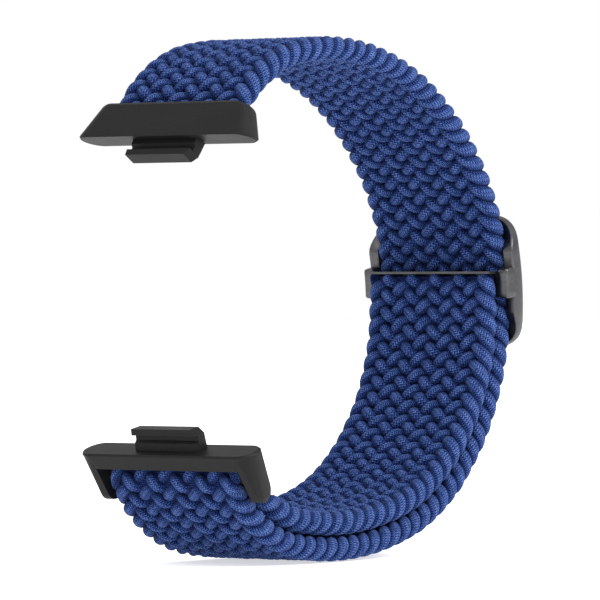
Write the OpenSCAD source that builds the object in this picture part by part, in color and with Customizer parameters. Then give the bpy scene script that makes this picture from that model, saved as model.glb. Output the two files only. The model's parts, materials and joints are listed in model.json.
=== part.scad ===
// Adjustable braided loop band for a wrist tracker, standing on its lowest point.
// X runs across the band, -Y is the tracker side, +Y the buckle side and +Z is up.
// The braid leaves the closed upper connector, runs over the top and down the back,
// passes through the sliding buckle, goes round the bottom as the outer layer, folds
// round a pin in the lower connector and comes back as the inner layer to the buckle.

/* [Braid] */
// Width of the flat braid
strap_w = 19; // [18.8:0.1:19.2]
// Thickness of one layer of braid
strap_t = 3.1; // [3:0.05:3.1]
// Distance between the middles of the two layers
layer_pitch = 3.2; // [3.2:0.05:3.3]

/* [Loop] */
// Bend radius of the braid behind the upper connector
front_r = 22.5; // [22:0.5:23]
// Bend radius over the top
top_r = 46; // [45:0.5:47]
// Bend radius of the shoulder above the buckle
shoulder_r = 37.5; // [37:0.5:38]
// Bend radius of the back, which the buckle slides along
back_r = 28; // [27.5:0.5:28.5]
// Bend radius below the buckle
hip_r = 31; // [30.5:0.5:31.5]
// Bend radius of the flat bottom
bottom_r = 59.5; // [58:0.5:61]
// Bend radius in front of the bottom
heel_r = 21; // [20.5:0.5:21.5]

/* [Connectors] */
// Width of the connectors at the tracker side
conn_w = 25.6; // [25.4:0.1:26]
// Depth of a connector, from its outer face to the wrist side
conn_d = 4.4; // [4.3:0.05:4.5]
// Length of the upper connector's outer face along the band
cap_l = 5.4; // [5.3:0.1:5.6]
// Distance along the lower connector from the tracker side to its pin
leg_pin_l = 5.3; // [5.2:0.1:5.4]
// Radius of the retaining pins
pin_r = 0.5; // [0.45:0.05:0.5]
// Width of a locking tongue
tongue_w = 9.4; // [9:0.1:10]
// Length of a locking tongue beyond the mating face
tongue_l = 1.8; // [1.8:0.1:2]

/* [Buckle] */
// Outer width of the buckle frame
frame_w = 22.4; // [22.2:0.1:22.8]
// Outer height of the buckle frame, along the band
frame_h = 16; // [15.5:0.1:16.5]
// Height of the centre bar, along the band
bar_h = 3.9; // [3.6:0.1:4.2]
// Place of the buckle on the back, as an angle above the middle of that bend
buckle_a = 6; // [5:0.5:7]

/* [Fits] */
// Clearance of the buckle from the braid that slides through it
slide_gap = 0.15; // [0.15:0.01:0.2]
// Radial clearance of the braid round a retaining pin
pin_gap = 0.05; // [0.03:0.01:0.08]

/* [Hidden] */
$fn = 64;
charcoal = [0.16, 0.16, 0.17];
gunmetal = [0.40, 0.40, 0.42];
steel = [0.62, 0.62, 0.64];
navy = [0.15, 0.22, 0.42];

// The middle of the single and outer layer is a chain of arcs, each [radius, angle],
// which turns clockwise as seen from +X, from the upper pin to the lower pin.
ARCS = [[front_r, 44], [top_r, 15], [top_r, 14], [shoulder_r, 32], [back_r, 72],
    [hip_r, 43], [bottom_r, 24], [heel_r, 42]];
FRONT = 0;
TOP_FRONT = 1;
TOP = 2;
SHOULDER = 3;
BACK = 4;
HIP = 5;
BOTTOM = 6;
HEEL = 7;
// Where the chain starts, [y, z], and the angle it leaves at, before the shift to the frame
CHAIN_START = [-24.8, 19.6];
CHAIN_ANGLE = 55;
function turned(i) = i == 0 ? 0 : turned(i - 1) + ARCS[i - 1][1];
function heading(i) = CHAIN_ANGLE - turned(i);
function on_circle(c, r, a) = [c[0] + r * cos(a), c[1] + r * sin(a)];
function joint_at(i) = i == 0 ? CHAIN_START
    : on_circle(arc_mid(i - 1), ARCS[i - 1][0], heading(i) + 90);
function arc_mid(i) = on_circle(joint_at(i), ARCS[i][0], heading(i) - 90);
// How far the connectors reach in front of the upper pin
front_reach = 3.75;
// Thickness of the buckle's bridges over the braid
bridge_t = 1.1;
// The frame's origin: the middle of the box at the lowest point of the outer layer
front_y = CHAIN_START[0] - front_reach;
back_y = arc_mid(BACK)[0] + back_r + strap_t / 2 + slide_gap + bridge_t;
origin_y = (front_y + back_y) / 2;
origin_z = arc_mid(BOTTOM)[1] - bottom_r - strap_t / 2;
mid_offset = layer_pitch / 2;
// Half the thickness of the two layers together
doubled_r = mid_offset + strap_t / 2;
// A small overlap that joins shapes of one solid
overlap = 0.3;

// ---- placing ----
// Moves a shape from the chain's own place to the part's frame
module placed() {
    translate([0, -origin_y, -origin_z]) children();
}

// Stands local +Z on the axis of an arc, so that a turned shape lies in the Y-Z plane
module about(c) {
    translate([0, c[0], c[1]]) rotate([90, 0, 90]) children();
}

// Part of a ring about the axis of arc i, from angle a to angle b
module ring_part(i, r_in, r_out, a, b, w) {
    about(arc_mid(i)) rotate([0, 0, a]) rotate_extrude(angle = b - a, $fn = 180)
        translate([r_in, -w / 2]) square([r_out - r_in, w]);
}

module bar_along_x(c, r, w) {
    translate([-w / 2, c[0], c[1]]) rotate([0, 90, 0]) cylinder(r = r, h = w);
}

// ---- braid ----
// A flat strap section with round edges
module strap_section(t, w) {
    square([t, w - t], center = true);
    translate([0, (w - t) / 2]) circle(d = t);
    translate([0, -(w - t) / 2]) circle(d = t);
}

// A stretch of braid along arc i, offset inward, with its ends cut back by angles
module strap_run(i, inward = 0, cut_start = 0, cut_end = 0) {
    start_a = heading(i) + 90 - cut_start;
    end_a = heading(i + 1) + 90 + cut_end;
    about(arc_mid(i)) rotate([0, 0, end_a])
        rotate_extrude(angle = start_a - end_a, $fn = 180)
        translate([ARCS[i][0] - inward, 0]) strap_section(strap_t, strap_w);
}

// Where the braid flexes, one stretch ends in a round knuckle that the next is hollowed for
knuckle_gap = 0.15;
knuckle_w = strap_w - 4;
knuckle_inset = 0.05;
// The upper flex, in the middle of the single layer
flex_top = joint_at(TOP);
knuckle_top_r = strap_t / 2 - knuckle_inset;
knuckle_top_cut = asin(0.9 / top_r);
// The lower flex, between the two layers
flex_low = on_circle(arc_mid(HEEL), heel_r - mid_offset, heading(HEEL) + 90);
knuckle_low_r = doubled_r - knuckle_inset;
knuckle_low_cut = asin(2 / (bottom_r - mid_offset));

module braid_upper_front() {
    color(navy) placed() strap_run(FRONT, cut_start = tail_a);
}

module braid_top_front() {
    color(navy) placed() {
        strap_run(TOP_FRONT);
        bar_along_x(flex_top, knuckle_top_r, knuckle_w);
    }
}

module braid_top() {
    color(navy) placed() difference() {
        strap_run(TOP, cut_start = knuckle_top_cut);
        bar_along_x(flex_top, knuckle_top_r + knuckle_gap, strap_w + 1);
    }
}

module braid_shoulder() {
    color(navy) placed() strap_run(SHOULDER);
}

module braid_back() {
    color(navy) placed() strap_run(BACK);
}

module braid_outer_hip() {
    color(navy) placed() strap_run(HIP);
}

module braid_inner_hip() {
    color(navy) placed() strap_run(HIP, layer_pitch);
}

// A bottom stretch, hollowed where the front of the band hinges on it
module bottom_run(inward) {
    difference() {
        strap_run(BOTTOM, inward, cut_end = knuckle_low_cut);
        bar_along_x(flex_low, knuckle_low_r + knuckle_gap, strap_w + 1);
    }
}

module braid_outer_bottom() {
    color(navy) placed() bottom_run(0);
}

module braid_inner_bottom() {
    color(navy) placed() bottom_run(layer_pitch);
}

// Half of the round end of the two layers, on the outer or the inner side
module half_knuckle(side) {
    room = 2 * doubled_r;
    gap = 4 * knuckle_inset;
    intersection() {
        bar_along_x(flex_low, knuckle_low_r, knuckle_w);
        translate([0, flex_low[0], flex_low[1]]) rotate([heading(HEEL), 0, 0])
            translate([0, overlap - room / 2, side * (room + gap) / 2])
            cube([strap_w, room, room], center = true);
    }
}

module braid_outer_front() {
    color(navy) placed() {
        strap_run(HEEL, 0, cut_end = fold_a);
        half_knuckle(1);
    }
}

module braid_inner_front() {
    color(navy) placed() {
        strap_run(HEEL, layer_pitch, cut_end = fold_a);
        half_knuckle(-1);
    }
}

// ---- connectors ----
// Both connectors are drawn in the same local axes: X across, Y from the outer face
// inward and Z from the tracker side towards the braid. Places there are [y, z].
cap_pin = [2.3, 3.2];
leg_pin = [2.1, leg_pin_l];
pin_w = 23;
leg_w = 1.9;
arch_w = 21.2;
fold_r = doubled_r;
// Angles of arc that the tail and the fold stand for
tail_a = 12;
fold_a = 3;
// How far the mating face leans back, over the depth
mate_rise = 1.75;

module at_upper() {
    translate([0, CHAIN_START[0], CHAIN_START[1]]) rotate([CHAIN_ANGLE - 90, 0, 0])
        translate([0, -cap_pin[0], -cap_pin[1]]) children();
}

lower_pin_at = on_circle(arc_mid(HEEL), heel_r - mid_offset, heading(HEEL + 1) + 90);

module at_lower() {
    translate([0, lower_pin_at[0], lower_pin_at[1]]) rotate([heading(HEEL + 1) + 270, 0, 0])
        mirror([0, 0, 1]) translate([0, -leg_pin[0], -leg_pin[1]]) children();
}

// An outline in the Y-Z plane, drawn out to the width w
module across(w) {
    translate([-w / 2, 0, 0]) rotate([90, 0, 90]) linear_extrude(w) children();
}

// A slice of the slot-shaped mating face, leaning back over the depth
module mating_slice(w, inset, z) {
    for (s = [-1, 1]) slice_end(s, w, inset, z);
}

// The rounded end of that slice on the side s
module slice_end(s, w, inset, z) {
    end_r = 1.9;
    lean = atan(mate_rise / conn_d);
    stretch = (conn_d / 2 - inset) / (end_r - inset) / cos(lean);
    translate([s * (w / 2 - end_r), conn_d / 2, mate_rise / 2 + z]) rotate([lean, 0, 0])
        scale([1, stretch, 1]) cylinder(r = end_r - inset, h = 0.01, $fn = 32);
}

// A slice with half-round ends at the end of a connector, square to its length
module far_slice(w, inset, z) {
    end_r = conn_d / 2;
    for (s = [-1, 1]) translate([s * (w / 2 - end_r), end_r, z - 0.01])
        cylinder(r = end_r - inset, h = 0.01, $fn = 32);
}

// The solid outside of a connector: w wide at the tracker side, w_far wide at its end l
module connector_body(w, w_far, l) {
    edge_inset = 0.2;
    hull() {
        mating_slice(w, edge_inset, 0);
        mating_slice(w, 0, 1.5 * edge_inset);
        far_slice(w_far, 0, l - 0.6);
        far_slice(w_far, 0.2, l - 0.2);
        far_slice(w_far, 0.6, l);
    }
}

// The hooked tongue that locks into the tracker's slot, leaning inward by tilt
module tongue(tilt) {
    pivot = [0, 2.3, 0.9];
    outer_y = 1.55;
    inner_y = outer_y + 1.5;
    lip = 0.5;
    lip_l = 0.8;
    groove = 0.35;
    groove_l = 0.7;
    root = 1.15;
    tip = -tongue_l;
    chamfer = 0.7 * sqrt(2);
    translate(pivot) rotate([tilt, 0, 0]) translate(-pivot) difference() {
        across(tongue_w) polygon([[outer_y, root], [outer_y, tip + lip_l + groove_l + groove],
            [outer_y + groove, tip + lip_l + groove_l], [outer_y + groove, tip + lip_l],
            [outer_y - lip, tip + lip_l], [outer_y - lip, tip], [inner_y, tip],
            [inner_y + lip, root]]);
        translate([tongue_w / 2, 0, tip]) rotate([0, 45, 0])
            cube([chamfer, 4 * conn_d, chamfer], center = true);
    }
}

module pin_bore(p, gap = 0) {
    bar_along_x(p, pin_r + gap, pin_w);
}

module upper_connector() {
    room_w = strap_w + 0.4;
    room_z = 2;
    room_half = 1.35;
    mouth_half = 1.75;
    beyond_z = cap_l + 1;
    color(charcoal) placed() at_upper() {
        difference() {
            connector_body(conn_w, conn_w - 3, cap_l);
            // The pocket for the braid's end, which widens to its mouth
            across(room_w) polygon([[cap_pin[0] - room_half, room_z],
                [cap_pin[0] + room_half, room_z], [cap_pin[0] + mouth_half, beyond_z],
                [cap_pin[0] - mouth_half, beyond_z]]);
            pin_bore(cap_pin);
        }
        tongue(5);
    }
}

module upper_pin() {
    color(steel) placed() at_upper() pin_bore(cap_pin);
}

// The pressed end of the single layer, round its pin
module braid_tail() {
    tail_r = 1.2;
    mouth = cap_pin + [0.08, cap_l - cap_pin[1]];
    end_p = on_circle(cap_pin + [front_r, 0], front_r, 180 - tail_a);
    end_n = [-cos(tail_a), sin(tail_a)] * strap_t / 2;
    color(navy) placed() at_upper() difference() {
        union() {
            across(strap_w) polygon([cap_pin - [tail_r, 0], mouth - [tail_r, 0], end_p + end_n,
                end_p - end_n, mouth + [tail_r, 0], cap_pin + [tail_r, 0]]);
            bar_along_x(cap_pin, tail_r, strap_w);
        }
        pin_bore(cap_pin, pin_gap);
    }
}

// A disc across a leg, the rounder for a larger inset
module leg_disc(x, z, r, inset) {
    translate([x, r, z]) rotate([0, 90, 0])
        cylinder(r = r - inset, h = leg_w - 0.6 + inset, center = true, $fn = 32);
}

module lower_connector() {
    body_l = 3;
    tip_r = 1.6;
    tip_z = leg_pin[1] + 1.2;
    tip_x = conn_w / 2 - 0.8 - leg_w / 2;
    pocket_r = fold_r + 0.45;
    color(charcoal) placed() at_lower() {
        difference() {
            union() {
                connector_body(conn_w, conn_w - 1, body_l);
                // A leg on each side, rounded beyond the pin
                for (s = [-1, 1]) hull() {
                    slice_end(s, conn_w, 0.05, 0.5);
                    leg_disc(s * tip_x, tip_z, tip_r, 0);
                    leg_disc(s * tip_x, tip_z, tip_r, 0.6);
                }
            }
            // The arch between the legs, and the pocket for the fold
            bar_along_x(leg_pin, pocket_r, arch_w);
            pin_bore(leg_pin);
        }
        tongue(28);
    }
}

module lower_pin() {
    color(steel) placed() at_lower() pin_bore(leg_pin);
}

// The braid folded round the lower pin, both layers and the bend together
module braid_fold() {
    end_r = heel_r - mid_offset;
    end_p = on_circle(leg_pin + [end_r, 0], end_r, 180 - fold_a);
    end_n = [-cos(fold_a), sin(fold_a)] * fold_r;
    color(navy) placed() at_lower() difference() {
        union() {
            across(strap_w) polygon([leg_pin - [fold_r, 0], end_p + end_n, end_p - end_n,
                leg_pin + [fold_r, 0]]);
            // The bend is round on the tracker side of the pin only
            translate([-strap_w / 2, leg_pin[0], leg_pin[1]]) rotate([90, 0, 90])
                rotate([0, 0, 180]) rotate_extrude(angle = 180) square([fold_r, strap_w]);
        }
        pin_bore(leg_pin, pin_gap);
    }
}

// ---- buckle ----
// All of it is turned about the axis of the back, so that it slides along the braid.
passage_in = back_r - strap_t / 2 - slide_gap;
passage_out = back_r + strap_t / 2 + slide_gap;
plate_t = 0.5;
lip_t = 0.3;
lip_d = 2.8;
plate_in = passage_in - plate_t;
// The plate's ends stand this far into the lugs
plate_end = 0.8;
// The frame's sides, from their inner to their outer face, and their width
side_in = back_r - 0.5;
side_out = back_r + 1.3;
side_w = 1.5;
opening_w = frame_w - 2 * side_w;
// The width between the lugs, which the inner layer fills but for a small gap
bar_w = strap_w + 0.3;
// An angle about the axis of the back that covers a length along the braid
function angle_of(length) = length / back_r * 180 / PI;
bar_a = angle_of(bar_h / 2);
// The lip stands on the plate's upper edge, a little below the tops of the lugs
lip_a = buckle_a + bar_a - angle_of(0.5);

module rounded_rectangle(w, h, r) {
    square([w - 2 * r, h], center = true);
    square([w, h - 2 * r], center = true);
    for (x = [-1, 1], y = [-1, 1])
        translate([x * (w / 2 - r), y * (h / 2 - r)]) circle(r = r);
}

module bar_plate() {
    ring_part(BACK, plate_in, passage_in, buckle_a - bar_a, lip_a, bar_w + 2 * plate_end);
}

module buckle_frame() {
    corner = 4;
    bridge_h = 1.4;
    frame_a = angle_of(frame_h / 2);
    waist_a = frame_a - 5;
    beyond_a = frame_a + 10;
    lug_w = (frame_w - bar_w) / 2;
    lug_a = bar_a + 0.4;
    lug_in = plate_in - 0.3;
    color(gunmetal) placed() {
        difference() {
            intersection() {
                ring_part(BACK, side_in, passage_out + bridge_t, buckle_a - beyond_a,
                    buckle_a + beyond_a, frame_w + 2);
                about(arc_mid(BACK)) rotate([0, 0, buckle_a]) rotate([0, 90, 0])
                    linear_extrude(2 * back_r) rotate([0, 0, 90]) difference() {
                        rounded_rectangle(frame_h, frame_w, corner);
                        rounded_rectangle(frame_h - 2 * bridge_h, opening_w, corner - side_w);
                    }
            }
            // The braid's way through, under the two bridges
            ring_part(BACK, side_in - 1, passage_out, buckle_a - beyond_a, buckle_a + beyond_a,
                opening_w);
            // The sides are thinner than the corners
            ring_part(BACK, side_out, side_out + 5, buckle_a - waist_a, buckle_a + waist_a,
                frame_w + 2);
        }
        // The two lugs that hold the centre bar
        for (s = [-1, 1]) difference() {
            translate([s * (bar_w + lug_w) / 2, 0, 0]) ring_part(BACK, lug_in,
                side_in + overlap, buckle_a - lug_a, buckle_a + lug_a, lug_w);
            bar_plate();
        }
    }
}

// A plate under the braid, with a thin lip along its upper edge that reaches level inward
module buckle_bar() {
    lip_root = on_circle(arc_mid(BACK), passage_in, lip_a);
    color(gunmetal) placed() {
        bar_plate();
        translate([-bar_w / 2, lip_root[0] - lip_d, lip_root[1] - lip_t / 2])
            cube([bar_w, lip_d, lip_t]);
    }
}

// The end of the inner layer, pressed thin and bonded to the centre bar
module braid_inner_end() {
    pressed_t = 2.2;
    color(navy) placed() ring_part(BACK, plate_in - pressed_t, plate_in, buckle_a - bar_a,
        lip_a - angle_of(lip_t), strap_w - 0.6);
}

// The stretch of inner layer below the centre bar, which stretches as the buckle moves
module braid_inner_back() {
    end_a = heading(HIP) + 90;
    color(navy) placed() about(arc_mid(BACK)) rotate([0, 0, end_a])
        rotate_extrude(angle = buckle_a - bar_a - end_a, $fn = 180)
        translate([back_r - layer_pitch, 0]) strap_section(strap_t, strap_w);
}

upper_connector();
upper_pin();
braid_tail();
braid_upper_front();
braid_top_front();
braid_top();
braid_shoulder();
braid_back();
braid_outer_hip();
braid_outer_bottom();
braid_outer_front();
braid_fold();
lower_connector();
lower_pin();
braid_inner_front();
braid_inner_bottom();
braid_inner_hip();
braid_inner_back();
braid_inner_end();
buckle_frame();
buckle_bar();
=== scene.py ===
"""Looks of an adjustable braided tracker band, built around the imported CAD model, in metres."""

import json
import math

import bpy
import numpy as np
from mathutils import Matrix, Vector


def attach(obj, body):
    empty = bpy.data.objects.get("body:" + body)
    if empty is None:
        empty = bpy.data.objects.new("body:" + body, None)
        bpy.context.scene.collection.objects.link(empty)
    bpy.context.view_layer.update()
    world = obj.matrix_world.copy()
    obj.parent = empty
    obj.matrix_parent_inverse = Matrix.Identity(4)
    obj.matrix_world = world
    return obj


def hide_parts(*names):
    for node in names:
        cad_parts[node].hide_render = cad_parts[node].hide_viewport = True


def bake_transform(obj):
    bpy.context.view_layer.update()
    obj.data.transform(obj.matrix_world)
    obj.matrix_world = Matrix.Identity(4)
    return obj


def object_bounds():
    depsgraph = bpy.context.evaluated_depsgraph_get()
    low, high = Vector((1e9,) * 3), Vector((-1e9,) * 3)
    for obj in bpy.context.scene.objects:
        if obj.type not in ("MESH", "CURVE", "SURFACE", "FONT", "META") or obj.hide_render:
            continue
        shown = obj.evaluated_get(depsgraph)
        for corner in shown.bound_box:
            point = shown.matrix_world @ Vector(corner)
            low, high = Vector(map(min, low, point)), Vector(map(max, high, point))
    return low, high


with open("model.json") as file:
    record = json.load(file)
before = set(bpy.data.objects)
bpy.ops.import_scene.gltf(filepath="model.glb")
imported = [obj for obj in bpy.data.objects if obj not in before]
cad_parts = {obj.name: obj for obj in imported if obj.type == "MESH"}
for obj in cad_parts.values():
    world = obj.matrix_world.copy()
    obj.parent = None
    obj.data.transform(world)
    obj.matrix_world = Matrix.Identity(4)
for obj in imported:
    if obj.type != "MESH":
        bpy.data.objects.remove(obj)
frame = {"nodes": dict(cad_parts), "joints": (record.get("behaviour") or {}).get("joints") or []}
cad_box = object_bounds()

MM = 0.001
joints = {j["name"]: j for j in frame["joints"]}


# ---- the braid's path ----
# The same chain of arcs as the CAD model: (radius mm, degrees), clockwise seen from +X,
# from the upper pin over the top, down the back and along the bottom to the lower pin.
ARCS = [(22.5, 44), (46, 15), (46, 14), (37.5, 32), (28, 72), (31, 43), (59.5, 24), (21, 42)]
TOP, BACK, HIP, BOTTOM, HEEL = 2, 4, 5, 6, 7  # indices in ARCS
BACK_RADIUS = ARCS[BACK][0]
START_HEADING = 55  # degrees, at the upper pin
LAYER_PITCH = 3.2
STRAP_W = 19.0
STRAP_T = 3.1
PRESSED_T = 2.3
BUCKLE_A = 6.0  # degrees round the back's axis, where the buckle sits at rest
BAR_H = 3.9
TIP_DROP = 0.72  # the inner layer ends this far below the bar's upper edge, just under its lip
TAIL = -1.1  # station of the outer layer's end, past the upper pin


def mm_point(joint):
    """The place of a joint in the Y-Z plane, in millimetres."""
    return np.array(joints[joint]["pos_m"][1:]) / MM


def polar(angle):
    """The unit vector at an angle in degrees."""
    return np.array([math.cos(math.radians(angle)), math.sin(math.radians(angle))])


def heading(i):
    """The braid's direction where arc i begins, in degrees."""
    return START_HEADING - sum(a for _, a in ARCS[:i])


def arc_centres():
    """Centres of the arcs, in millimetres."""
    centres, point = [], mm_point("upper_swivel")
    for i, (radius, _) in enumerate(ARCS):
        centres.append(point + radius * polar(heading(i) - 90))
        point = centres[-1] + radius * polar(heading(i + 1) + 90)
    return centres


CENTRES = arc_centres()
TIP_ANGLE = BUCKLE_A + math.degrees(BAR_H / 2 / BACK_RADIUS) - math.degrees(TIP_DROP / BACK_RADIUS)


def route():
    """Arcs (centre, radius, first and last angle) of the outer layer, the fold and the inner layer."""
    arcs = [
        (CENTRES[i], r, heading(i) + 90, heading(i + 1) + 90) for i, (r, _) in enumerate(ARCS)
    ]
    end = heading(len(ARCS)) + 90
    arcs.append((mm_point("lower_swivel"), LAYER_PITCH / 2, end, end - 180))
    for i in (HEEL, BOTTOM, HIP):
        inner = ARCS[i][0] - LAYER_PITCH
        arcs.append((CENTRES[i], inner, heading(i + 1) + 90, heading(i) + 90))
    arcs.append((CENTRES[BACK], BACK_RADIUS - LAYER_PITCH, heading(HIP) + 90, TIP_ANGLE))
    return arcs


# A station is the distance along the route from the upper pin, in millimetres
ROUTE = route()
LENGTHS = [r * math.radians(abs(b - a)) for _, r, a, b in ROUTE]
STATIONS = np.concatenate([[0], np.cumsum(LENGTHS)])
FOLD = len(ARCS)  # index in ROUTE
FULL_LENGTH = STATIONS[-1]


def on_route(s):
    """Points, directions and right-hand normals at stations s, each (n, 2) in the Y-Z plane."""
    i = np.clip(np.searchsorted(STATIONS, s, side="right") - 1, 0, len(ROUTE) - 1)
    centre = np.array([arc[0] for arc in ROUTE])[i]
    radius, first, last = (np.array([arc[k] for arc in ROUTE], float)[i] for k in (1, 2, 3))
    length = np.array(LENGTHS)[i]
    inside = np.clip((s - STATIONS[i]) / length, 0, 1)
    a = np.radians(first + (last - first) * inside)
    out = np.stack([np.cos(a), np.sin(a)], 1)
    turn = np.where(last > first, 1.0, -1.0)[:, None]
    along = turn * np.stack([-out[:, 1], out[:, 0]], 1)
    past = np.minimum(s, 0)[:, None] + np.maximum(s - FULL_LENGTH, 0)[:, None]
    return centre + radius[:, None] * out + past * along, along, turn * out


def ease(x):
    """A smooth step from 0 to 1."""
    x = np.clip(x, 0, 1)
    return x * x * (3 - 2 * x)


PRESSED = PRESSED_T / STRAP_T
PIN_GRIP = 1.5  # station where the braid starts to swell after the upper pin
PIN_SWELL, FOLD_SWELL, BAR_SWELL = 4, 3.5, 4.5  # lengths over which it swells to its full thickness


def thickness(s):
    """Share of the full thickness: the braid is pressed at the upper pin, the fold and the bar."""
    fold_s, fold_e = STATIONS[FOLD], STATIONS[FOLD + 1]
    tail = ease((s - PIN_GRIP) / PIN_SWELL)
    fold = np.maximum(ease((fold_s - s) / FOLD_SWELL), ease((s - fold_e) / FOLD_SWELL))
    end = ease((FULL_LENGTH - s) / BAR_SWELL)
    return PRESSED + (1 - PRESSED) * tail * fold * end


# ---- the braid ----
# Eleven cords in a plain flat braid. A cord goes over one and under one from edge to edge,
# and its phase is counted in steps: ten columns and an edge turn each way.
CORDS = 11
STEPS = 2 * CORDS
STEP_S = 1.2  # length of braid for one step
COLUMN = 1.83
MIDDLE_COLUMN = (CORDS - 1) / 2
STEEPER = 0.46  # how much steeper a cord lies on top of a crossing than on average
EDGE_REACH = 2 * (1 - STEEPER) / math.pi
WAVE_POWER = 0.7  # below 1, a cord stays long at its highest and dives fast
CORD_LIFT = 0.75
CORD_HALF_W, WIDER_IN_VIEW, WIDER_AT_EDGE = 0.70, 0.09, 0.2
CORD_HALF_T, THICKER_IN_CROSSING = 0.80, 0.12
# Half width and half thickness of the ribbon in full painted shade between the cords.
SHADE_RIBBON_HALF_W, SHADE_RIBBON_HALF_T = 8.6, 0.4
RING = 14  # points round a cord
RING_STEP = 0.2
RING_TURN = 2 * np.pi * np.arange(RING) / RING
WANDER_WAVES = (3.1, 5.3, 8.9)
WANDER_X, WANDER_LIFT, WANDER_W = 0.05, 0.03, 0.03


def cord_steps(u):
    """A cord at its phase u, in steps.

    Gives its column, lift (-1 to 1), roll in radians, share of the full lift whichever the side,
    and share of an edge turn.
    """
    last = CORDS - 1.5
    u = np.mod(u - 1, STEPS) + 1
    right, edge_r = u < CORDS - 1, (u >= CORDS - 1) & (u < CORDS + 1)
    left, edge_l = (u >= CORDS + 1) & (u < STEPS - 1), u >= STEPS - 1
    runs = [right, edge_r, left, edge_l]
    turn_r = (u - (CORDS - 1)) * math.pi / 2
    turn_l = (u - (STEPS - 1)) * math.pi / 2
    sway = STEEPER / (2 * math.pi) * np.sin(2 * math.pi * u)
    column = np.select(runs, [
        u - 0.5 - sway,
        last + EDGE_REACH * np.sin(turn_r),
        STEPS - 0.5 - u + sway,
        0.5 - EDGE_REACH * np.sin(turn_l),
    ])
    wave = np.sin(np.pi * column)
    wave = np.sign(wave) * np.abs(wave) ** WAVE_POWER
    lift = np.select(runs, [-wave, np.cos(turn_r), wave, np.cos(turn_l)])
    roll = np.select(runs, [0 * u, turn_r, 0 * u + math.pi, math.pi - turn_l])
    full = np.where(right | left, np.abs(wave), 1.0)
    at_edge = np.select([edge_r, edge_l], [np.sin(turn_r), np.sin(turn_l)], 0.0)
    return column, lift, roll, full, at_edge


def wander(s, seed, size):
    """A slow irregularity along a cord, the same on each run."""
    rng = np.random.default_rng(seed)
    total = np.zeros_like(s)
    for wavelength in WANDER_WAVES:
        total += np.sin(2 * np.pi * s / wavelength + rng.uniform(0, 2 * np.pi))
    return size * total / len(WANDER_WAVES)


def in_space(yz):
    """Points or directions of the Y-Z plane, with an X of zero."""
    return np.column_stack([np.zeros(len(yz)), yz])


def cord_rings(k, s):
    """Cord k at stations s: rings of points, its own length up to each, and the painted light share of
    each point.

    The share is 1 on top of a crossing and falls at the cord's sides and where it dives: painted light
    on the tops and painted shade in the creases of the braid.
    """
    column, lift, roll, full, at_edge = cord_steps(s / STEP_S + 2 * k)
    thin = thickness(s)
    x = (column - MIDDLE_COLUMN) * COLUMN + wander(s, 100 + k, WANDER_X)
    raised = lift * CORD_LIFT * thin + wander(s, 200 + k, WANDER_LIFT) * thin
    place, _, normal = on_route(s)
    across = np.zeros((len(s), 3))
    across[:, 0] = 1
    centre = in_space(place) + in_space(normal) * raised[:, None] + across * x[:, None]
    tangent = np.gradient(centre, axis=0)
    lengths = np.linalg.norm(tangent, axis=1)
    tangent /= lengths[:, None]
    short = in_space(normal) * np.cos(roll)[:, None] + across * np.sin(roll)[:, None]
    short -= tangent * np.sum(short * tangent, 1)[:, None]
    short /= np.linalg.norm(short, axis=1)[:, None]
    wide = np.cross(tangent, short)
    half_w = CORD_HALF_W + WIDER_IN_VIEW * full + WIDER_AT_EDGE * at_edge
    half_w = half_w * (1 + wander(s, 300 + k, WANDER_W))
    half_t = (CORD_HALF_T + THICKER_IN_CROSSING * (1 - full)) * thin
    rings = (
        centre[:, None]
        + wide[:, None] * (half_w[:, None] * np.cos(RING_TURN))[..., None]
        + short[:, None] * (half_t[:, None] * np.sin(RING_TURN))[..., None]
    )
    # Painted light and shade: lighter on top of a crossing, darker at the cord's sides and where it
    # dives under its neighbours.
    on_top = 0.25 + 0.75 * full[:, None] ** 2
    painted_crease_light = on_top * (1 - 0.9 * np.abs(np.cos(RING_TURN)) ** 3)
    return rings, np.cumsum(lengths), painted_crease_light


def shade_ribbon_rings(s):
    """A thin ribbon between the cords, seen only in the gaps and drawn dark in full painted shade, with
    a painted light share of zero.
    """
    place, _, normal = on_route(s)
    rings = np.zeros((len(s), RING, 3))
    rings[:, :, 0] = SHADE_RIBBON_HALF_W * np.cos(RING_TURN)
    lift = SHADE_RIBBON_HALF_T * thickness(s)[:, None] * np.sin(RING_TURN)
    rings[:, :, 1:] = place[:, None] + normal[:, None] * lift[..., None]
    # A painted light share of zero: the ribbon is all painted shade.
    return rings, s - s[0], np.zeros((len(s), RING))


RING_COUNT = int(round((FULL_LENGTH - TAIL) / RING_STEP))
ALL_S = np.linspace(TAIL, FULL_LENGTH, RING_COUNT + 1)
ALL_CORDS = [cord_rings(k, ALL_S) for k in range(CORDS)] + [shade_ribbon_rings(ALL_S)]


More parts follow.
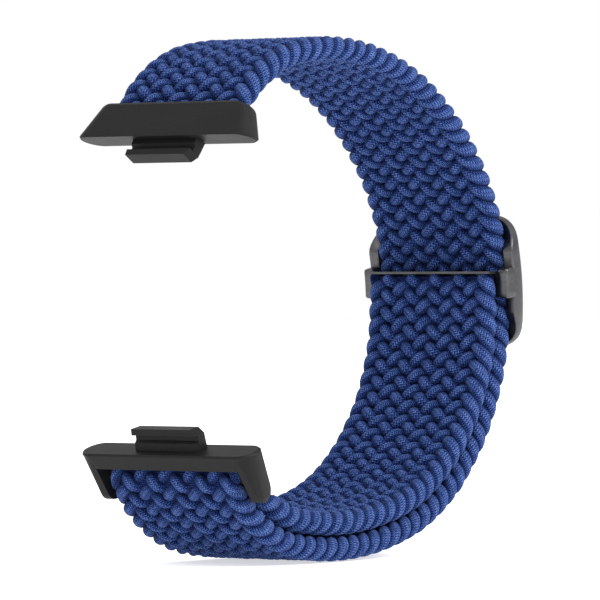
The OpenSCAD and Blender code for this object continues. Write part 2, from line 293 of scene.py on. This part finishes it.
def tube_mesh(name, tubes, capped):
    """One mesh of tubes (rings, lengths, painted light shares); its UV is (length in mm, turn from 0 to
    1).
    """
    points, faces, uvs, shares = [], [], [], []
    for rings, lengths, painted_crease_light in tubes:
        shares.append(painted_crease_light.ravel())
        n, m = rings.shape[:2]
        base = sum(len(p) for p in points)
        points.append(rings.reshape(-1, 3))
        i, j = np.meshgrid(np.arange(n - 1), np.arange(m), indexing="ij")
        nxt = (j + 1) % m
        quads = np.stack([i * m + j, i * m + nxt, (i + 1) * m + nxt, (i + 1) * m + j], -1)
        faces.extend((quads.reshape(-1, 4) + base).tolist())
        at = np.stack([lengths[i], j / m], -1), np.stack([lengths[i], (j + 1) / m], -1)
        up = np.stack([lengths[i + 1], (j + 1) / m], -1), np.stack([lengths[i + 1], j / m], -1)
        uvs.extend(np.stack([*at, *up], 2).reshape(-1, 2).tolist())
        for cap, ring in zip(capped, (np.arange(m)[::-1], (n - 1) * m + np.arange(m))):
            if cap:
                faces.append((ring + base).tolist())
                uvs.extend([[0.0, 0.0]] * m)
    mesh = bpy.data.meshes.new(name)
    mesh.from_pydata((np.concatenate(points) * MM).tolist(), [], faces)
    layer = mesh.uv_layers.new(name="cord")
    layer.data.foreach_set("uv", np.array(uvs, np.float32).ravel())
    # The painted light share of each point, for painted light on the crossings and painted shade in the
    # creases.
    painted_crease_light_layer = mesh.attributes.new("painted_crease_light", "FLOAT", "POINT")
    painted_crease_light_layer.data.foreach_set("value", np.concatenate(shares).astype(np.float32))
    return mesh


# ---- materials ----
class Graph:
    """The nodes of one material, and short ways to add to them."""

    def __init__(self, name):
        self.material = bpy.data.materials.new(name)
        self.material.use_nodes = True
        self.nodes = self.material.node_tree.nodes

    def feed(self, socket, value):
        """Links a socket to another node's output, or sets it to a number or colour."""
        if isinstance(value, bpy.types.NodeSocket):
            self.material.node_tree.links.new(value, socket)
        else:
            socket.default_value = value

    def add(self, kind, **inputs):
        """A new node, with its inputs fed; an underscore in a name stands for a space."""
        node = self.nodes.new(kind)
        for name, value in inputs.items():
            self.feed(node.inputs[name.replace("_", " ")], value)
        return node

    def calc(self, operation, *values):
        node = self.add("ShaderNodeMath")
        node.operation = operation
        for socket, value in zip(node.inputs, values):
            self.feed(socket, value)
        return node.outputs[0]

    def object_coords(self):
        return self.add("ShaderNodeTexCoord").outputs["Object"]

    def stretched_coords(self, scale):
        coords = self.object_coords()
        return self.add("ShaderNodeMapping", Vector=coords, Scale=scale).outputs[0]

    def noise(self, vector, scale, detail):
        node = self.add("ShaderNodeTexNoise", Vector=vector, Scale=scale, Detail=detail)
        return node.outputs["Fac"]

    def ramp(self, value, stops):
        node = self.add("ShaderNodeValToRGB", Fac=value)
        elements = node.color_ramp.elements
        for element, (position, colour) in zip(elements, (stops[0], stops[-1])):
            element.position, element.color = position, colour
        for position, colour in stops[1:-1]:
            elements.new(position).color = colour
        return node.outputs["Color"]

    def bump(self, height, distance):
        node = self.add("ShaderNodeBump", Strength=1.0, Distance=distance, Height=height)
        return node.outputs["Normal"]

    def finish(self, **inputs):
        """Feeds the shader's inputs and gives the material."""
        for name, value in inputs.items():
            self.feed(self.nodes["Principled BSDF"].inputs[name.replace("_", " ")], value)
        return self.material


STITCH = 0.235  # length of a knitted stitch along a cord, in mm
WALES = 9  # columns of stitches round a cord


def braid_material():
    """Knitted cords: V-shaped stitches in columns along each cord, with painted light on top of the
    crossings and painted shade where a cord dives and at its sides.
    """
    graph = Graph("braid_cords")
    calc = graph.calc
    uv = graph.add("ShaderNodeUVMap")
    uv.uv_map = "cord"
    length, turn, _ = graph.add("ShaderNodeSeparateXYZ", Vector=uv.outputs[0]).outputs
    wale = calc("FRACT", calc("MULTIPLY", turn, WALES))
    slant = calc("MULTIPLY", calc("ABSOLUTE", calc("SUBTRACT", wale, 0.5)), 2.0)
    row = calc("ADD", calc("MULTIPLY", length, 1 / STITCH), calc("MULTIPLY", slant, 0.8))
    stitch = calc("MULTIPLY_ADD", calc("SINE", calc("MULTIPLY", row, 2 * math.pi)), 0.5, 0.5)
    valley = calc("POWER", calc("SUBTRACT", 1.0, slant), 3.0)
    knit = calc("MULTIPLY_ADD", valley, -0.35, stitch)
    place = graph.object_coords()
    fibre = graph.noise(place, 5200, 3.0)
    patches = graph.noise(place, 1500, 2.0)
    # The painted light share of each point, read from the mesh.
    painted_crease_light = graph.add("ShaderNodeAttribute")
    painted_crease_light.attribute_name = "painted_crease_light"
    tone = calc("ADD", calc("MULTIPLY", knit, 0.62), calc("MULTIPLY", fibre, 0.25))
    tone = calc("ADD", tone, calc("MULTIPLY", calc("SUBTRACT", patches, 0.5), 0.6))
    # Painted light and shade: the tone rises on top of the crossings and falls in the creases.
    tone = calc("ADD", tone, calc("MULTIPLY_ADD", painted_crease_light.outputs["Fac"], 0.5, -0.33))
    colour = graph.ramp(tone, [
        (0.05, (0.001, 0.005, 0.040, 1)),
        (0.28, (0.009, 0.027, 0.130, 1)),
        (0.55, (0.021, 0.053, 0.205, 1)),
        (0.95, (0.115, 0.185, 0.440, 1)),
    ])
    return graph.finish(
        Base_Color=colour, Roughness=0.78, Sheen_Weight=0.08, Sheen_Roughness=0.45,
        Sheen_Tint=(0.35, 0.5, 1.0, 1), Specular_IOR_Level=0.08,
        Normal=graph.bump(calc("MULTIPLY_ADD", fibre, 0.5, knit), 0.00011),
    )


def plastic_material():
    """Moulded charcoal plastic with a fine spark-eroded grain."""
    graph = Graph("charcoal_plastic")
    calc = graph.calc
    place = graph.object_coords()
    grain = graph.noise(place, 5000, 3.0)
    cloud = graph.noise(place, 260, 2.0)
    colour = graph.ramp(calc("ADD", calc("MULTIPLY", grain, 0.6), calc("MULTIPLY", cloud, 0.4)), [
        (0.30, (0.006, 0.006, 0.0063, 1)),
        (0.70, (0.011, 0.011, 0.0113, 1)),
    ])
    return graph.finish(
        Base_Color=colour, Specular_IOR_Level=0.14,
        Roughness=calc("MULTIPLY_ADD", cloud, 0.14, 0.46), Normal=graph.bump(grain, 0.00002),
    )


def gunmetal_material():
    """Satin dark plating over metal, with fine brush lines."""
    graph = Graph("gunmetal_plate")
    calc = graph.calc
    lines = graph.noise(graph.stretched_coords((400, 4500, 4500)), 1.0, 3.0)
    cloud = graph.noise(graph.object_coords(), 350, 2.0)
    colour = graph.ramp(calc("ADD", calc("MULTIPLY", lines, 0.5), calc("MULTIPLY", cloud, 0.5)), [
        (0.30, (0.060, 0.060, 0.064, 1)),
        (0.70, (0.110, 0.110, 0.115, 1)),
    ])
    return graph.finish(
        Base_Color=colour, Metallic=1.0, Roughness=calc("MULTIPLY_ADD", lines, 0.16, 0.24),
        Normal=graph.bump(lines, 0.000008),
    )


def steel_material():
    """Drawn steel wire, lined along its length."""
    graph = Graph("drawn_steel")
    lines = graph.noise(graph.stretched_coords((150, 7000, 7000)), 1.0, 2.0)
    colour = graph.ramp(lines, [(0.3, (0.42, 0.42, 0.44, 1)), (0.7, (0.62, 0.62, 0.64, 1))])
    return graph.finish(
        Base_Color=colour, Metallic=1.0, Roughness=graph.calc("MULTIPLY_ADD", lines, 0.2, 0.22),
    )


def floor_material():
    """Pale matt paper, lit a little from within so that it stays even."""
    return Graph("pale_floor").finish(
        Base_Color=(0.86, 0.86, 0.86, 1), Roughness=0.9, Specular_IOR_Level=0.1,
        Emission_Color=(1, 1, 1, 1), Emission_Strength=0.6,
    )


BRAID, PLASTIC = braid_material(), plastic_material()
GUNMETAL, STEEL = gunmetal_material(), steel_material()


def add_object(name, mesh, material):
    """Puts a finished mesh in the scene."""
    mesh.materials.append(material)
    piece = bpy.data.objects.new(name, mesh)
    bpy.context.scene.collection.objects.link(piece)
    return piece


def smooth_piece(name, mesh, material):
    """A smooth visual piece made of a mesh."""
    mesh.polygons.foreach_set("use_smooth", [True] * len(mesh.polygons))
    mesh.validate()
    mesh.update()
    piece = add_object(name, mesh, material)
    return piece


# ---- the braid's stretches ----
# The braid is cut at the flex joints and at the bar, and a flex stretch reaches this far each way from
# its joint
FLEX_HALF = 5.0
FLEX_TOP_S = STATIONS[TOP]
FLEX_LOW_S = STATIONS[HEEL]
INNER_FLEX_S = STATIONS[FOLD + 2]
INNER_BACK_S = STATIONS[FOLD + 4]
BAR_S = FULL_LENGTH - BAR_H * (BACK_RADIUS - LAYER_PITCH) / BACK_RADIUS


def braid_piece(name, first, last):
    """The stretch of all the cords between two stations, cut out of the whole braid."""
    i0 = int(np.argmin(np.abs(ALL_S - first)))
    i1 = int(np.argmin(np.abs(ALL_S - last)))
    tubes = [tuple(part[i0:i1 + 1] for part in cord) for cord in ALL_CORDS]
    mesh = tube_mesh(name, tubes, (i0 == 0, i1 == RING_COUNT))
    return smooth_piece(name, mesh, BRAID)


def ride_stretch(name, first, last, body, *nodes):
    """A stretch that moves with one body, in place of CAD nodes."""
    piece = braid_piece(name, first, last)
    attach(piece, body)
    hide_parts(*nodes)


def flex_stretch(name, first, last, body_a, body_b, *nodes):
    """A stretch of braid in place of CAD nodes if any are named, attached to no body; the two bodies it
    lies between are not used.
    """
    piece = braid_piece(name, first, last)
    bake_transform(piece)
    if nodes:
        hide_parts(*nodes)


ride_stretch("braid_upper_run", TAIL, FLEX_TOP_S - FLEX_HALF, "upper_arm",
             "braid_tail", "braid_upper_front", "braid_top_front")
flex_stretch("braid_top_flex", FLEX_TOP_S - FLEX_HALF, FLEX_TOP_S + FLEX_HALF,
             "upper_arm", "loop", "braid_top")
ride_stretch("braid_outer_run", FLEX_TOP_S + FLEX_HALF, FLEX_LOW_S - FLEX_HALF, "loop",
             "braid_shoulder", "braid_back", "braid_outer_hip", "braid_outer_bottom")
flex_stretch("braid_outer_flex", FLEX_LOW_S - FLEX_HALF, FLEX_LOW_S + FLEX_HALF,
             "loop", "lower_arm")
ride_stretch("braid_fold_run", FLEX_LOW_S + FLEX_HALF, INNER_FLEX_S - FLEX_HALF, "lower_arm",
             "braid_outer_front", "braid_fold", "braid_inner_front")
flex_stretch("braid_inner_flex", INNER_FLEX_S - FLEX_HALF, INNER_FLEX_S + FLEX_HALF,
             "lower_arm", "loop")
ride_stretch("braid_inner_run", INNER_FLEX_S + FLEX_HALF, INNER_BACK_S, "loop",
             "braid_inner_bottom", "braid_inner_hip")
flex_stretch("braid_inner_stretch", INNER_BACK_S, BAR_S, "loop", "buckle", "braid_inner_back")
ride_stretch("braid_inner_tip", BAR_S, FULL_LENGTH, "buckle", "braid_inner_end")


# ---- the buckle ----
# Its pieces are drawn in (x, height along the braid, radius from the back's axis), in mm.
FRAME_W, FRAME_H, FRAME_CORNER, FRAME_BEVEL = 22.4, 16.0, 4.0, 0.3
SIDE_W, BRIDGE_W = 1.55, 2.2
SIDE_IN, SIDE_OUT = 27.2, 29.3  # radii of the sides, which lie beside the braid
BRIDGE_IN, BRIDGE_OUT = 29.7, 30.8  # radii of the ends, which pass over it
BAR_W = STRAP_W + 0.3
LUG_IN, LUG_BEVEL = 25.5, 0.35
LUG_HALF_H = BAR_H / 2 + 0.2
LUG_OUTER_X = FRAME_W / 2 - 0.02  # just inside the frame's outer face
BLOCK_CUTS = 6


def on_back(points):
    """Bends points (x, height, radius) round the axis of the back, in metres."""
    points = np.asarray(points, float)
    angle = math.radians(BUCKLE_A) + points[:, 1] / BACK_RADIUS
    centre = CENTRES[BACK]
    y = centre[0] + points[:, 2] * np.cos(angle)
    z = centre[1] + points[:, 2] * np.sin(angle)
    return np.column_stack([points[:, 0], y, z]) * MM


def rounded_outline(w, h, r, arc_points=12, side_points=8):
    """Points and outward normals round a rectangle with round corners."""
    x, y = w / 2 - r, h / 2 - r
    top, side = w - 2 * r, h - 2 * r
    points, normals = [], []
    for corner, start, following, straight in (
            ((x, y), 0, (-1, 0), top), ((-x, y), 90, (0, -1), side),
            ((-x, -y), 180, (1, 0), top), ((x, -y), 270, (0, 1), side)):
        for a in np.linspace(start, start + 90, arc_points):
            points.append(np.array(corner) + r * polar(a))
            normals.append(polar(a))
        for _ in range(1, side_points):
            points.append(points[-1] + np.array(following) * straight / side_points)
            normals.append(normals[-1])
    return np.array(points), np.array(normals)


def rounded_section(bevel, per_corner=4):
    """A rounded square: rows of its corner (across, up), 0 or 1, and the shift from it in mm."""
    rows = []
    for corner, start in (((1, 1), 0), ((0, 1), 90), ((0, 0), 180), ((1, 0), 270)):
        outward = np.sign(np.array(corner) - 0.5)
        for a in np.linspace(start, start + 90, per_corner):
            rows.append((*corner, *(bevel * (polar(a) - outward))))
    return np.array(rows)


def ring_faces(rings, m, closed):
    """Quads between neighbouring rings of m points; closed joins the last ring to the first."""
    faces = []
    for i in range(rings if closed else rings - 1):
        here, there = i * m, (i + 1) % rings * m
        for j in range(m):
            nxt = (j + 1) % m
            faces.append((here + j, here + nxt, there + nxt, there + j))
    return faces


def frame_loop():
    """The buckle's frame: a bar whose ends rise over the braid and whose sides lie beside it."""
    outline, normals = rounded_outline(FRAME_W, FRAME_H, FRAME_CORNER)
    section = rounded_section(FRAME_BEVEL)
    over = ease(np.abs(normals[:, 1]))
    width = SIDE_W + (BRIDGE_W - SIDE_W) * over
    low = SIDE_IN + (BRIDGE_IN - SIDE_IN) * over
    high = SIDE_OUT + (BRIDGE_OUT - SIDE_OUT) * over
    points = []
    for i in range(len(outline)):
        inset = (1 - section[:, 0]) * width[i] - section[:, 2]
        rho = low[i] + section[:, 1] * (high[i] - low[i]) + section[:, 3]
        ring = outline[i] - normals[i] * inset[:, None]
        points.append(np.column_stack([ring, rho]))
    return np.concatenate(points), ring_faces(len(outline), len(section), True)


def rounded_block(lowest, highest, bevel):
    """A block with rounded edges, cut along its height so that it can be bent."""
    lowest, highest = np.array(lowest, float), np.array(highest, float)
    section = rounded_section(bevel)
    size, middle = highest - lowest, (lowest + highest) / 2
    heights = [lowest[1]] + [lowest[1] + bevel * t for t in (0.3, 1)]
    heights += list(np.linspace(lowest[1] + bevel, highest[1] - bevel, BLOCK_CUTS)[1:-1])
    heights += [highest[1] - bevel * t for t in (1, 0.3)] + [highest[1]]
    shrink = [bevel, 0.3 * bevel, 0] + [0] * (BLOCK_CUTS - 2) + [0, 0.3 * bevel, bevel]
    points = []
    for h, cut in zip(heights, shrink):
        x = lowest[0] + section[:, 0] * size[0] + section[:, 2]
        rho = lowest[2] + section[:, 1] * size[2] + section[:, 3]
        x += np.sign(middle[0] - x) * cut
        rho += np.sign(middle[2] - rho) * cut
        points.append(np.column_stack([x, np.full(len(x), h), rho]))
    m = len(section)
    faces = ring_faces(len(heights), m, False)
    faces.append(tuple(range(m))[::-1])
    faces.append(tuple((len(heights) - 1) * m + j for j in range(m)))
    return np.concatenate(points), faces


def buckle_frame():
    """The frame and the two lugs that hold the bar."""
    parts = [frame_loop()]
    for side in (-1, 1):
        x = sorted((side * BAR_W / 2, side * LUG_OUTER_X))
        lowest, highest = (x[0], -LUG_HALF_H, LUG_IN), (x[1], LUG_HALF_H, SIDE_OUT)
        parts.append(rounded_block(lowest, highest, LUG_BEVEL))
    points, faces = [], []
    for part_points, part_faces in parts:
        base = sum(len(p) for p in points)
        points.append(part_points)
        faces.extend(tuple(v + base for v in face) for face in part_faces)
    mesh = bpy.data.meshes.new("buckle_frame_smooth")
    mesh.from_pydata(on_back(np.concatenate(points)).tolist(), [], faces)
    piece = smooth_piece("buckle_frame_smooth", mesh, GUNMETAL)
    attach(piece, "buckle")
    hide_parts("buckle_frame")


buckle_frame()


# ---- CAD nodes that stay in view ----
FINISHES = {
    "upper_connector": PLASTIC,
    "lower_connector": PLASTIC,
    "upper_pin": STEEL,
    "lower_pin": STEEL,
    "buckle_bar": GUNMETAL,
}
for node_name, finish in FINISHES.items():
    materials = frame["nodes"][node_name].data.materials
    materials.clear()
    materials.append(finish)


# ---- floor, light and camera ----
# The middle of the loop in the Y-Z plane, from the axis of the back
LOOP_CENTRE = Vector(joints["buckle_slide"]["pos_m"]) + Vector((0, -0.00802, 0.00218))
FLOOR_HALF = 6.0
FLOOR_GAP = 0.0001
SKY = 1.0
CAMERA_AZIMUTH = 34.5
CAMERA_DISTANCE = 0.653
CAMERA_RIGHT, CAMERA_DOWN = 0.00123, 0.00163  # the object sits a little left of the middle and above it
LENS, SENSOR = 312.2, 36


def away_from_object(azimuth, elevation):
    """The direction from the object to a light or the camera, from an azimuth and an elevation in
    degrees.
    """
    a, e = math.radians(azimuth), math.radians(elevation)
    return Vector((math.sin(a) * math.cos(e), -math.cos(a) * math.cos(e), math.sin(e)))


def place_facing(name, data, location, back):
    """Adds a light or a camera that looks against the direction back."""
    placed = bpy.data.objects.new(name, data)
    placed.location = location
    placed.rotation_euler = back.to_track_quat("Z", "Y").to_euler()
    bpy.context.scene.collection.objects.link(placed)
    return placed


def add_floor():
    """A pale floor that is large enough to have no edge in view."""
    corners = [(-1, -1), (1, -1), (1, 1), (-1, 1)]
    mesh = bpy.data.meshes.new("floor")
    mesh.from_pydata([(FLOOR_HALF * x, FLOOR_HALF * y, 0) for x, y in corners], [], [(0, 1, 2, 3)])
    floor = add_object("floor", mesh, floor_material())
    floor.location.z = cad_box[0].z - FLOOR_GAP


def add_light(name, azimuth, elevation, distance, size, power):
    """A soft light aimed at the object."""
    away = away_from_object(azimuth, elevation)
    data = bpy.data.lights.new(name, "AREA")
    data.energy = power
    data.size = size
    place_facing(name, data, LOOP_CENTRE + away * distance, away)


def add_sky():
    sky = bpy.data.worlds.new("studio")
    sky.use_nodes = True
    background = sky.node_tree.nodes["Background"]
    background.inputs["Color"].default_value = (1, 1, 1, 1)
    background.inputs["Strength"].default_value = SKY
    bpy.context.scene.world = sky


def add_camera():
    back = away_from_object(CAMERA_AZIMUTH, 0)
    right = Vector((-back.y, back.x, 0))
    data = bpy.data.cameras.new("camera")
    data.lens = LENS
    data.sensor_width = SENSOR
    data.clip_start = 0.01
    shift = right * CAMERA_RIGHT - Vector((0, 0, CAMERA_DOWN))
    location = LOOP_CENTRE + back * CAMERA_DISTANCE + shift
    bpy.context.scene.camera = place_facing("camera", data, location, back)


add_floor()
add_sky()
add_light("key", azimuth=95, elevation=35, distance=0.8, size=0.35, power=5.0)
add_light("fill", azimuth=0, elevation=50, distance=0.8, size=0.5, power=1.2)
add_camera()
bpy.context.scene.view_settings.view_transform = "Standard"
